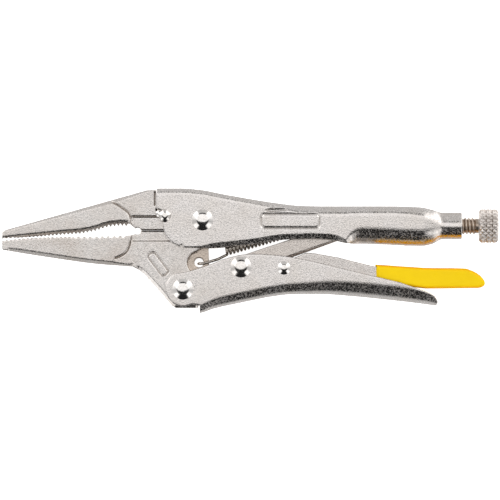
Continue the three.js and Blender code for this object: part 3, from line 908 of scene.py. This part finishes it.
def spring_point(along, out, across):
    """A point by its distance along the spring, off its axis in the side view, and across."""
    c, s = math.cos(SPRING_SLOPE), math.sin(SPRING_SLOPE)
    return (SPRING_START[0] + along * c - out * s, SPRING_START[1] + along * s + out * c, across)


def spring_line():
    """The wire's middle line: front hook, coil and rear hook."""
    radius = SPRING_R - WIRE_R
    turns = SPRING_LENGTH / COIL_PITCH - 1
    count = round(turns * TURN_STEPS)
    coil = []
    for i in range(count + 1):
        angle = -math.pi / 2 + 2 * math.pi * turns * i / count
        along = WIRE_R + (SPRING_LENGTH - 2 * WIRE_R) * i / count
        coil.append(spring_point(along, radius * math.sin(angle), radius * math.cos(angle)))
    front = [
        (-23.4, -6.0, -1.9),
        (-23.4, -6.0, 0.6),
        (-22.9, -6.0, 2.3),
        (-20.6, -5.8, 2.8),
        (-17.2, -4.8, 2.6),
        (-14.4, -3.9, 0.9),
        coil[0],
    ]
    back = [
        coil[-1],
        (TONGUE_X - 1.2, TONGUE_HOLE_Y - 0.2, 0),
        (TONGUE_X + 1.0, TONGUE_HOLE_Y, 0),
        (TONGUE_X + 3.0, TONGUE_HOLE_Y + 0.5, 0),
        (TONGUE_X + 3.6, TONGUE_HOLE_Y + 1.8, 0),
    ]
    return curve(front, 48)[:-1] + coil + curve(back, 28)[1:]


def wire_along(name, line, radius, sides=10):
    """A round wire along a line, with its section carried along without twist."""
    places = [Vector(p) for p in line]
    ways = [
        (places[min(i + 1, len(places) - 1)] - places[max(i - 1, 0)]).normalized()
        for i in range(len(places))
    ]
    across = ways[0].orthogonal().normalized()
    rings = []
    for place, way in zip(places, ways):
        across = (across - way * across.dot(way)).normalized()
        other = way.cross(across)
        angles = [2 * math.pi * i / sides for i in range(sides)]
        rings.append(
            [tuple(place + (across * math.cos(a) + other * math.sin(a)) * radius) for a in angles]
        )
    return shaded(new_object(name, *bridge(rings)), 60)


def jaw_spring():
    return wire_along("jaw_spring_coil", spring_line(), WIRE_R)


# ---- materials ----
DOT_DIMMING = 0.62
# How dark the painted shade in concave corners is, as a share of the tarnish colour.
CREASE_SHADE_DIMMING = 0.6
DEEP_Z = (3.2, 4.0)  # painted brown shade goes on faces nearer the mid-plane than this
DEEP_X = (-46.0, -42.0)  # and only behind the noses
FLOOR_GLOW = 0.75


class Graph:
    """A short way to write a node tree."""

    def __init__(self, tree):
        tree.nodes.clear()
        self.tree = tree

    def add(self, kind, inputs=None, **settings):
        node = self.tree.nodes.new(kind)
        for key, value in settings.items():
            setattr(node, key, value)
        for key, value in (inputs or {}).items():
            self.feed(node.inputs[key], value)
        return node

    def feed(self, socket, value):
        if isinstance(value, bpy.types.NodeSocket):
            self.tree.links.new(value, socket)
        else:
            socket.default_value = value

    def noise(self, place, size, detail=3.0):
        """Noise between 0 and 1 whose grains are about size millimetres across."""
        inputs = {"Vector": place, "Scale": 1 / (size * MM), "Detail": detail}
        return self.add("ShaderNodeTexNoise", inputs).outputs["Fac"]

    def span(self, value, low, high, to_low, to_high, kind="LINEAR"):
        inputs = {0: value, 1: low, 2: high, 3: to_low, 4: to_high}
        return self.add("ShaderNodeMapRange", inputs, interpolation_type=kind).outputs[0]

    def maths(self, operation, first, second=0.0):
        return self.add("ShaderNodeMath", {0: first, 1: second}, operation=operation).outputs[0]

    def mix(self, share, first, second):
        node = self.add("ShaderNodeMix", data_type="RGBA")
        self.feed(node.inputs[0], share)
        self.feed(node.inputs[6], first)
        self.feed(node.inputs[7], second)
        return node.outputs[2]

    def bump(self, height, distance, under=None):
        inputs = {"Height": height, "Distance": distance * MM, "Strength": 1.0}
        if under:
            inputs["Normal"] = under
        return self.add("ShaderNodeBump", inputs).outputs["Normal"]


def new_material(name):
    material = bpy.data.materials.new(name)
    material.use_nodes = True
    graph = Graph(material.node_tree)
    place = graph.add("ShaderNodeTexCoord").outputs["Object"]
    return material, graph, place


def facing(graph):
    """How far a face points along X, Y and Z, whichever way along each."""
    normal = graph.add("ShaderNodeTexCoord").outputs["Normal"]
    size = graph.add("ShaderNodeVectorMath", {0: normal}, operation="ABSOLUTE").outputs[0]
    return graph.add("ShaderNodeSeparateXYZ", {0: size}).outputs


def plated_colour(graph, place, tint, tarnish_and_shade, crease, recess_shade):
    """Nickel with darker dots and brown tarnish in patches, and painted brown shade in
    concave corners and on deep faces.
    """
    cloud = graph.noise(place, 11.0, 5.0)
    dots = graph.noise(place, 0.8, 3.0)
    corner = graph.add("ShaderNodeNewGeometry").outputs["Pointiness"]
    # Concave corners, where the pointiness is low, take a darker brown as painted shade.
    crease_shade = graph.span(corner, 0.42, 0.49, crease, 0.0)
    patches = graph.span(cloud, 0.35, 0.75, 0.0, 0.35)
    axes = graph.add("ShaderNodeSeparateXYZ", {0: place}).outputs
    # Faces near the mid-plane behind the noses take the tarnish colour as painted shade.
    depth = graph.maths("ABSOLUTE", graph.maths("SUBTRACT", axes["Z"], MID_Z * MM))
    deep = graph.span(depth, *[value * MM for value in DEEP_Z], recess_shade, 0.0)
    behind_nose = graph.span(axes["X"], *[value * MM for value in DEEP_X], 0.0, 1.0)
    deep = graph.maths("MULTIPLY", deep, behind_nose)
    dimmed = [value * DOT_DIMMING for value in tint]
    grainy = graph.mix(graph.span(dots, 0.45, 0.75, 0.0, 0.6), (*tint, 1), (*dimmed, 1))
    # The tarnish colour is real tarnish in the random patches and painted shade on the deep faces.
    colour = graph.mix(graph.maths("MAXIMUM", patches, deep), grainy, (*tarnish_and_shade, 1))
    return graph.mix(crease_shade, colour, (*[value * CREASE_SHADE_DIMMING for value in tarnish_and_shade], 1))


def frosted_roughness(graph, place, roughness, frosted):
    """Gloss broken by fine rough grains, more of them where the sheet was bent."""
    grains = graph.span(graph.noise(place, 0.7, 1.0), 0.42, 0.62, 0.0, 1.0)
    bent = graph.span(facing(graph)["Z"], 0.93, 0.998, frosted, 0.3 * frosted)
    return graph.maths("ADD", graph.maths("MULTIPLY", grains, bent), roughness)


def plated(
    name, tint, tarnish_and_shade, roughness, frosted=0.0, grain=0.05, wave=0.04, crease=0.8, recess_shade=0.4
):
    """Nickel over steel: bright grain, slow waves from polishing, frosted bends, and painted brown
    shade in corners and on the faces that lie deep, near the mid-plane."""
    material, graph, place = new_material(name)
    colour = plated_colour(graph, place, tint, tarnish_and_shade, crease, recess_shade)
    rough = frosted_roughness(graph, place, roughness, frosted)
    normal = graph.bump(graph.noise(place, 5.0, 2.0), wave)
    normal = graph.bump(graph.noise(place, 0.45, 2.0), grain, normal)
    shader = graph.add(
        "ShaderNodeBsdfPrincipled",
        {"Base Color": colour, "Roughness": rough, "Normal": normal, "Metallic": 1.0},
    )
    graph.add("ShaderNodeOutputMaterial", {"Surface": shader.outputs[0]})
    return material


def vinyl():
    """Dipped vinyl: soft gloss, faint orange peel, slightly deeper colour in patches, and
    painted shade in orange on the faces that point along Y.
    """
    material, graph, place = new_material("dipped_vinyl")
    peel = graph.noise(place, 0.9, 2.0)
    cloud = graph.noise(place, 9.0, 3.0)
    share = graph.span(cloud, 0.3, 0.7, 0.0, 1.0)
    yellow = graph.mix(share, (0.70, 0.49, 0.001, 1), (0.66, 0.45, 0.001, 1))
    # Faces that point up or down along Y turn orange: painted shade.
    edge = graph.span(facing(graph)["Y"], 0.1, 0.85, 0.0, 1.0)
    colour = graph.mix(edge, yellow, (0.74, 0.33, 0.003, 1))
    rough = graph.span(peel, 0.3, 0.7, 0.42, 0.55)
    normal = graph.bump(peel, 0.012)
    shader = graph.add(
        "ShaderNodeBsdfPrincipled",
        {"Base Color": colour, "Roughness": rough, "Normal": normal, "Specular IOR Level": 0.12},
    )
    graph.add("ShaderNodeOutputMaterial", {"Surface": shader.outputs[0]})
    return material


def pale_floor():
    """Pale matt paper that glows a little, so that it stays even."""
    material, graph, place = new_material("pale_floor")
    cloud = graph.noise(place, 400.0, 2.0)
    colour = graph.mix(cloud, (0.93, 0.93, 0.93, 1), (0.95, 0.95, 0.95, 1))
    shader = graph.add(
        "ShaderNodeBsdfPrincipled",
        {
            "Base Color": colour,
            "Roughness": 0.9,
            "Emission Color": (1, 1, 1, 1),
            "Emission Strength": FLOOR_GLOW,
        },
    )
    graph.add("ShaderNodeOutputMaterial", {"Surface": shader.outputs[0]})
    return material


# ---- studio ----
VIEW_WIDTH = 226.8
VIEW_SHIFT_Y = 0.18
CAMERA_HEIGHT = 2500.0
SENSOR = 36.0
FLOOR_HALF = 6000.0
FLOOR_DEPTH = 20
FILL_STRENGTH, FILL_SPREAD = 1.65, 60
BOX_TILT = math.radians(12)
BOX_WAY = (0, math.sin(BOX_TILT), math.cos(BOX_TILT))
BOX_STRENGTH = 1.16
BOX_STRETCH = (0.4, 1, 1)
WALL_STRENGTH = 0.62
PANEL_STRENGTH = 1.4
PANEL_DIMMING = 0.8
GROUND_STRENGTH = 0.68
DARK_STRENGTH = 0.02
# Where each light's edge begins and where it ends, as a share of a unit direction.
BOX_EDGE = (0.94, 0.965)
WALL_EDGE, WALL_TOP = (-0.2, 0.4), (0.70, 0.78)
PANEL_EDGE, PANEL_END, PANEL_TOP = (0.46, 0.66), (0.82, 0.96), (0.80, 0.88)
GROUND_EDGE = (-0.16, -0.08)


def towards_box(graph, way):
    """How nearly a direction points at the soft box, which is longer along X."""
    wide = graph.add("ShaderNodeVectorMath", {0: way, 1: BOX_STRETCH}, operation="MULTIPLY")
    wide = graph.add("ShaderNodeVectorMath", {0: wide.outputs[0]}, operation="NORMALIZE")
    inputs = {0: wide.outputs[0], 1: BOX_WAY}
    return graph.add("ShaderNodeVectorMath", inputs, operation="DOT_PRODUCT").outputs["Value"]


def round_the_horizon(graph, way):
    """The X and Y parts of a direction laid flat."""
    flat = graph.add("ShaderNodeVectorMath", {0: way, 1: (1, 1, 0)}, operation="MULTIPLY")
    flat = graph.add("ShaderNodeVectorMath", {0: flat.outputs[0]}, operation="NORMALIZE")
    return graph.add("ShaderNodeSeparateXYZ", {0: flat.outputs[0]}).outputs


def world_light():
    """A soft box overhead, a bright wall towards +Y, panels to the sides, dark cloth towards -Y
    and a pale ground."""
    world = bpy.data.worlds.new("studio")
    bpy.context.scene.world = world
    world.use_nodes = True
    graph = Graph(world.node_tree)
    way = graph.add("ShaderNodeTexCoord").outputs["Generated"]
    z = graph.add("ShaderNodeSeparateXYZ", {0: way}).outputs["Z"]
    level = round_the_horizon(graph, way)

    def soft_span(value, edge, to_low, to_high):
        return graph.span(value, *edge, to_low, to_high, "SMOOTHSTEP")

    overhead = soft_span(towards_box(graph, way), BOX_EDGE, 0.0, BOX_STRENGTH)
    wall = soft_span(level["Y"], WALL_EDGE, 0.0, WALL_STRENGTH)
    wall = graph.maths("MULTIPLY", wall, soft_span(z, WALL_TOP, 1.0, 0.0))
    sideways = graph.maths("ABSOLUTE", level["X"])
    panels = soft_span(sideways, PANEL_EDGE, 0.0, PANEL_STRENGTH)
    ends = soft_span(sideways, PANEL_END, 0.0, PANEL_DIMMING)
    panels = graph.maths("SUBTRACT", panels, ends)
    panels = graph.maths("MULTIPLY", panels, soft_span(z, PANEL_TOP, 1.0, 0.0))
    light = graph.maths("ADD", wall, panels)
    light = graph.maths("ADD", graph.maths("ADD", overhead, light), DARK_STRENGTH)
    ground = soft_span(z, GROUND_EDGE, GROUND_STRENGTH, 0.0)
    light = graph.maths("MAXIMUM", light, ground)
    shader = graph.add("ShaderNodeBackground", {"Color": (1, 0.99, 0.985, 1), "Strength": light})
    graph.add("ShaderNodeOutputWorld", {"Surface": shader.outputs[0]})


def soft_sun(name, strength, spread, turn):
    """A broad light for matt surfaces only, so that no disc of it shows in the metal."""
    light = bpy.data.lights.new(name, "SUN")
    light.energy = strength
    light.angle = math.radians(spread)
    lamp = bpy.data.objects.new(name, light)
    lamp.rotation_euler = [math.radians(angle) for angle in turn]
    lamp.visible_glossy = False
    bpy.context.scene.collection.objects.link(lamp)


def floor():
    """A wide slab whose top is the surface that the tool lies on."""
    half = FLOOR_HALF
    outline = [(-half, -half), (half, -half), (half, half), (-half, half)]
    ground = plate(outline, -MID_Z - FLOOR_DEPTH, -MID_Z, "floor")
    ground.data.materials.append(pale_floor())
    ground.visible_glossy = False


def camera():
    """Straight above the tool with a long lens; the tool's length lies along the image."""
    eye = bpy.data.cameras.new("camera")
    eye.sensor_width = SENSOR
    eye.lens = SENSOR * CAMERA_HEIGHT / VIEW_WIDTH
    eye.clip_end = 100
    rig = bpy.data.objects.new("camera", eye)
    rig.location = (0, VIEW_SHIFT_Y * MM, (MID_Z + CAMERA_HEIGHT) * MM)
    bpy.context.scene.collection.objects.link(rig)
    bpy.context.scene.camera = rig


# ---- the tool ----
def finish_piece(obj, node, body, material):
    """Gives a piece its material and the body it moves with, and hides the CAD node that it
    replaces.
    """
    obj.data.materials.clear()
    obj.data.materials.append(material)
    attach(obj, body)
    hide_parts(node)
    return obj


def build_tool():
    sheet = plated("nickel_sheet", (0.755, 0.725, 0.705), (0.60, 0.54, 0.47), 0.16, 0.3)
    # A darker copy of the sheet nickel for the link and the lever, which lie between the handles:
    # painted shade.
    inner = plated("nickel_sheet_painted_shade", (0.70, 0.665, 0.64), (0.55, 0.48, 0.42), 0.2, 0.3)
    forged = plated(
        "nickel_forged", (0.765, 0.735, 0.71), (0.53, 0.44, 0.36), 0.24, 0.1, recess_shade=0.8
    )
    bright = plated("nickel_rivet", (0.86, 0.84, 0.82), (0.55, 0.48, 0.40), 0.12, 0, 0.008, 0.05)
    welded = plated("nickel_weld", (0.84, 0.82, 0.80), (0.50, 0.43, 0.35), 0.12, 0, 0.01, 0.1)
    knurled = plated("plated_knob", (0.72, 0.68, 0.65), (0.42, 0.34, 0.28), 0.4, 0, 0.01, 0.01)
    brown = plated("plated_screw", (0.60, 0.52, 0.45), (0.33, 0.24, 0.17), 0.3, 0, 0.01, 0.01, 0.9)
    wire = plated("spring_steel", (0.70, 0.67, 0.63), (0.30, 0.23, 0.17), 0.2, 0, 0.004, 0.01)
    pieces = [
        (upper_handle, "upper_handle", "upper_handle", "nickel_sheet", sheet),
        (lower_handle, "lower_handle", "lower_handle", "nickel_sheet", sheet),
        (fixed_jaw, "fixed_jaw", "upper_handle", "nickel_forged", forged),
        (moving_jaw, "moving_jaw", "moving_jaw", "nickel_forged", forged),
        (toggle_link, "toggle_link", "toggle_link", "nickel_sheet", inner),
        (release_lever, "release_lever", "release_lever", "nickel_sheet", inner),
        (lever_sleeve, "lever_sleeve", "release_lever", "yellow_vinyl", vinyl()),
        (adjusting_screw, "adjusting_screw", "screw_knob", "screw_steel", brown),
        (screw_knob, "screw_knob", "screw_knob", "screw_steel", knurled),
        (jaw_spring, "jaw_spring", "upper_handle", "spring_wire", wire),
    ]
    made = {}
    for build, node, body, slot, material in pieces:
        made[node] = finish_piece(build(), node, body, material)
    heads = [
        ("jaw_pivot_rivet", JAW_PIVOT, "upper_handle", LARGE_RIVET),
        ("handle_pivot_rivet", HANDLE_PIVOT, "lower_handle", LARGE_RIVET),
        ("link_pivot_rivet", LINK_PIVOT, "lower_handle", LARGE_RIVET),
        ("lever_pivot_rivet", LEVER_PIVOT, "lower_handle", SMALL_RIVET),
    ]
    for node, point, body, sizes in heads:
        head = rivet(node + "_spun", point, *sizes)
        finish_piece(head, node, body, bright)
    for node, side in (("weld_bead_left", 1), ("weld_bead_right", -1)):
        finish_piece(weld_bead(node, side), node, "upper_handle", welded)
    return made


tool = build_tool()
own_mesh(tool["jaw_spring"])
floor()
world_light()
soft_sun("overhead_fill", FILL_STRENGTH, FILL_SPREAD, (0, 0, 0))
camera()
bpy.context.scene.view_settings.view_transform = "Standard"
